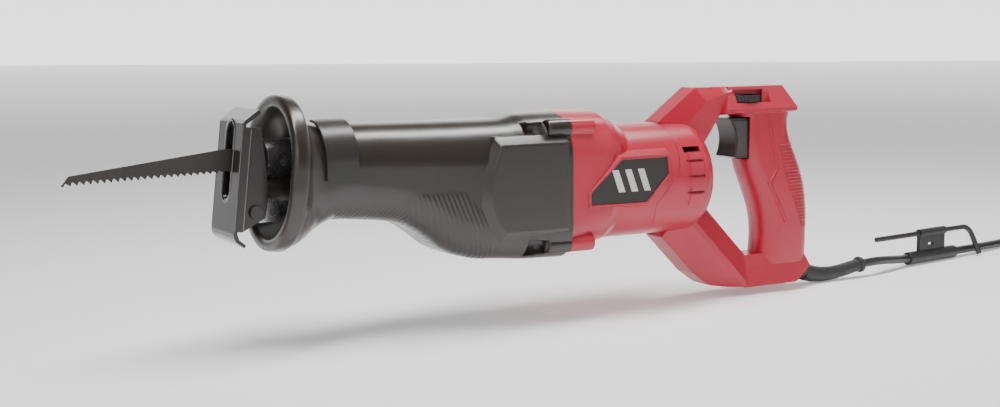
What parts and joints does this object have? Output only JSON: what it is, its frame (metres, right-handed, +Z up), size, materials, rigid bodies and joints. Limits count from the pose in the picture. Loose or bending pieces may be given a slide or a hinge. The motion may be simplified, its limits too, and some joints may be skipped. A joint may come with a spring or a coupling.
{
  "type": "reciprocating saw",
  "caption": "Corded reciprocating saw with a D-handle, black gear cover, tilting steel shoe, trigger, speed wheel, blade, cord and key clip.",
  "frame": {"origin": "middle of the tool's bounding box (cord left out), on the floor under it", "axes": "+X towards the blade's tip along the stroke, +Y to the tool's left side, +Z up"},
  "size_m": [1.0035, 0.177, 0.1653],
  "materials": {
    "red_plastic": "semi-gloss",
    "black_plastic": "semi-gloss",
    "black_rubber": "matt",
    "grey_plastic": "satin",
    "black_steel": "black coating",
    "bright_steel": "ground",
    "gear_steel": "machined",
    "cast_metal": "die cast",
    "bronze": "sintered",
    "copper": "enamelled wire",
    "core_steel": "laminated",
    "carbon": "matt",
    "cord_pvc": "satin",
    "label_film": "satin",
    "brass": "bright"
  },
  "bodies": {
    "frame": {"front_bushing": "bronze", "plunger_seal": "black_rubber", "rear_bushing": "bronze", "gear_bearings": "bright_steel", "motor_bearings": "bright_steel", "field_stator": "core_steel", "field_coils": "copper", "end_bracket": "grey_plastic", "brush_holders": "brass", "brushes": "carbon", "brush_springs": "bright_steel", "gear_housing": "cast_metal", "bearing_cover": "bright_steel", "front_cover": "black_plastic", "motor_housing": "red_plastic", "side_labels": "label_film", "cover_screws": "black_steel", "handle_left": "red_plastic", "handle_right": "red_plastic", "trigger_spring": "bright_steel", "switch_body": "black_plastic", "speed_control": "black_plastic", "inner_cord": "cord_pvc", "cord_clamp": "black_plastic", "handle_screws": "black_steel", "strain_relief": "black_rubber", "power_cord": "cord_pvc", "cord_coil": "cord_pvc", "cord_tail": "cord_pvc", "key_holder": "black_rubber", "hex_key": "black_steel", "plug_body": "black_rubber", "plug_pins": "brass"},
    "plunger_unit": {"plunger": "bright_steel", "blade": "black_steel", "blade_clamp": "black_steel", "clamp_screw": "black_steel"},
    "crank": {"crank_gear": "gear_steel", "crank_pin": "bright_steel", "gear_shaft": "bright_steel"},
    "armature": {"armature_shaft": "bright_steel", "armature_core": "core_steel", "armature_windings": "copper", "commutator": "copper", "cooling_fan": "grey_plastic", "pinion": "gear_steel"},
    "shoe_carrier": {"shoe_bar": "bright_steel", "shoe_pivot_pin": "black_steel"},
    "shoe_plate": {"shoe": "black_steel"},
    "lock_lever": {"shoe_lock_lever": "black_plastic"},
    "trigger_piece": {"trigger": "black_plastic"},
    "speed_dial": {"speed_wheel": "grey_plastic"}
  },
  "joints": [
    {"name": "blade_stroke", "type": "slide", "parent": "frame", "child": "plunger_unit", "axis": [1, 0, 0], "range_m": [-0.0143, 0.0143]},
    {"name": "gear_spin", "type": "hinge", "parent": "frame", "child": "crank", "pos_m": [0.042, 0, 0.106], "axis": [0, 0, 1], "continuous": true},
    {"name": "armature_spin", "type": "hinge", "parent": "frame", "child": "armature", "pos_m": [-0.06, 0, 0.0945], "axis": [1, 0, 0], "continuous": true},
    {"name": "shoe_reach", "type": "slide", "parent": "frame", "child": "shoe_carrier", "axis": [1, 0, 0], "range_m": [0, 0.016]},
    {"name": "shoe_tilt", "type": "hinge", "parent": "shoe_carrier", "child": "shoe_plate", "pos_m": [0.2085, 0, 0.092], "axis": [0, 1, 0], "range_deg": [-3, 12]},
    {"name": "lock_lever_hinge", "type": "hinge", "parent": "frame", "child": "lock_lever", "pos_m": [0.1542, 0.007, 0.1478], "axis": [1, 0, 0], "range_deg": [0, 35], "stiffness_Nm_per_rad": 0.05, "springref_deg": -11.46},
    {"name": "trigger_press", "type": "slide", "parent": "frame", "child": "trigger_piece", "axis": [-1, 0, 0], "range_m": [0, 0.006], "stiffness_N_per_m": 900, "springref_m": -0.003, "deforming": ["trigger_spring"]},
    {"name": "speed_turn", "type": "hinge", "parent": "frame", "child": "speed_dial", "pos_m": [-0.1925, 0, 0.151], "axis": [0, 0, 1], "range_deg": [-135, 135]}
  ],
  "couplings": [
    {"joint": "gear_spin", "follows": "armature_spin", "ratio": 0.16667}
  ]
}
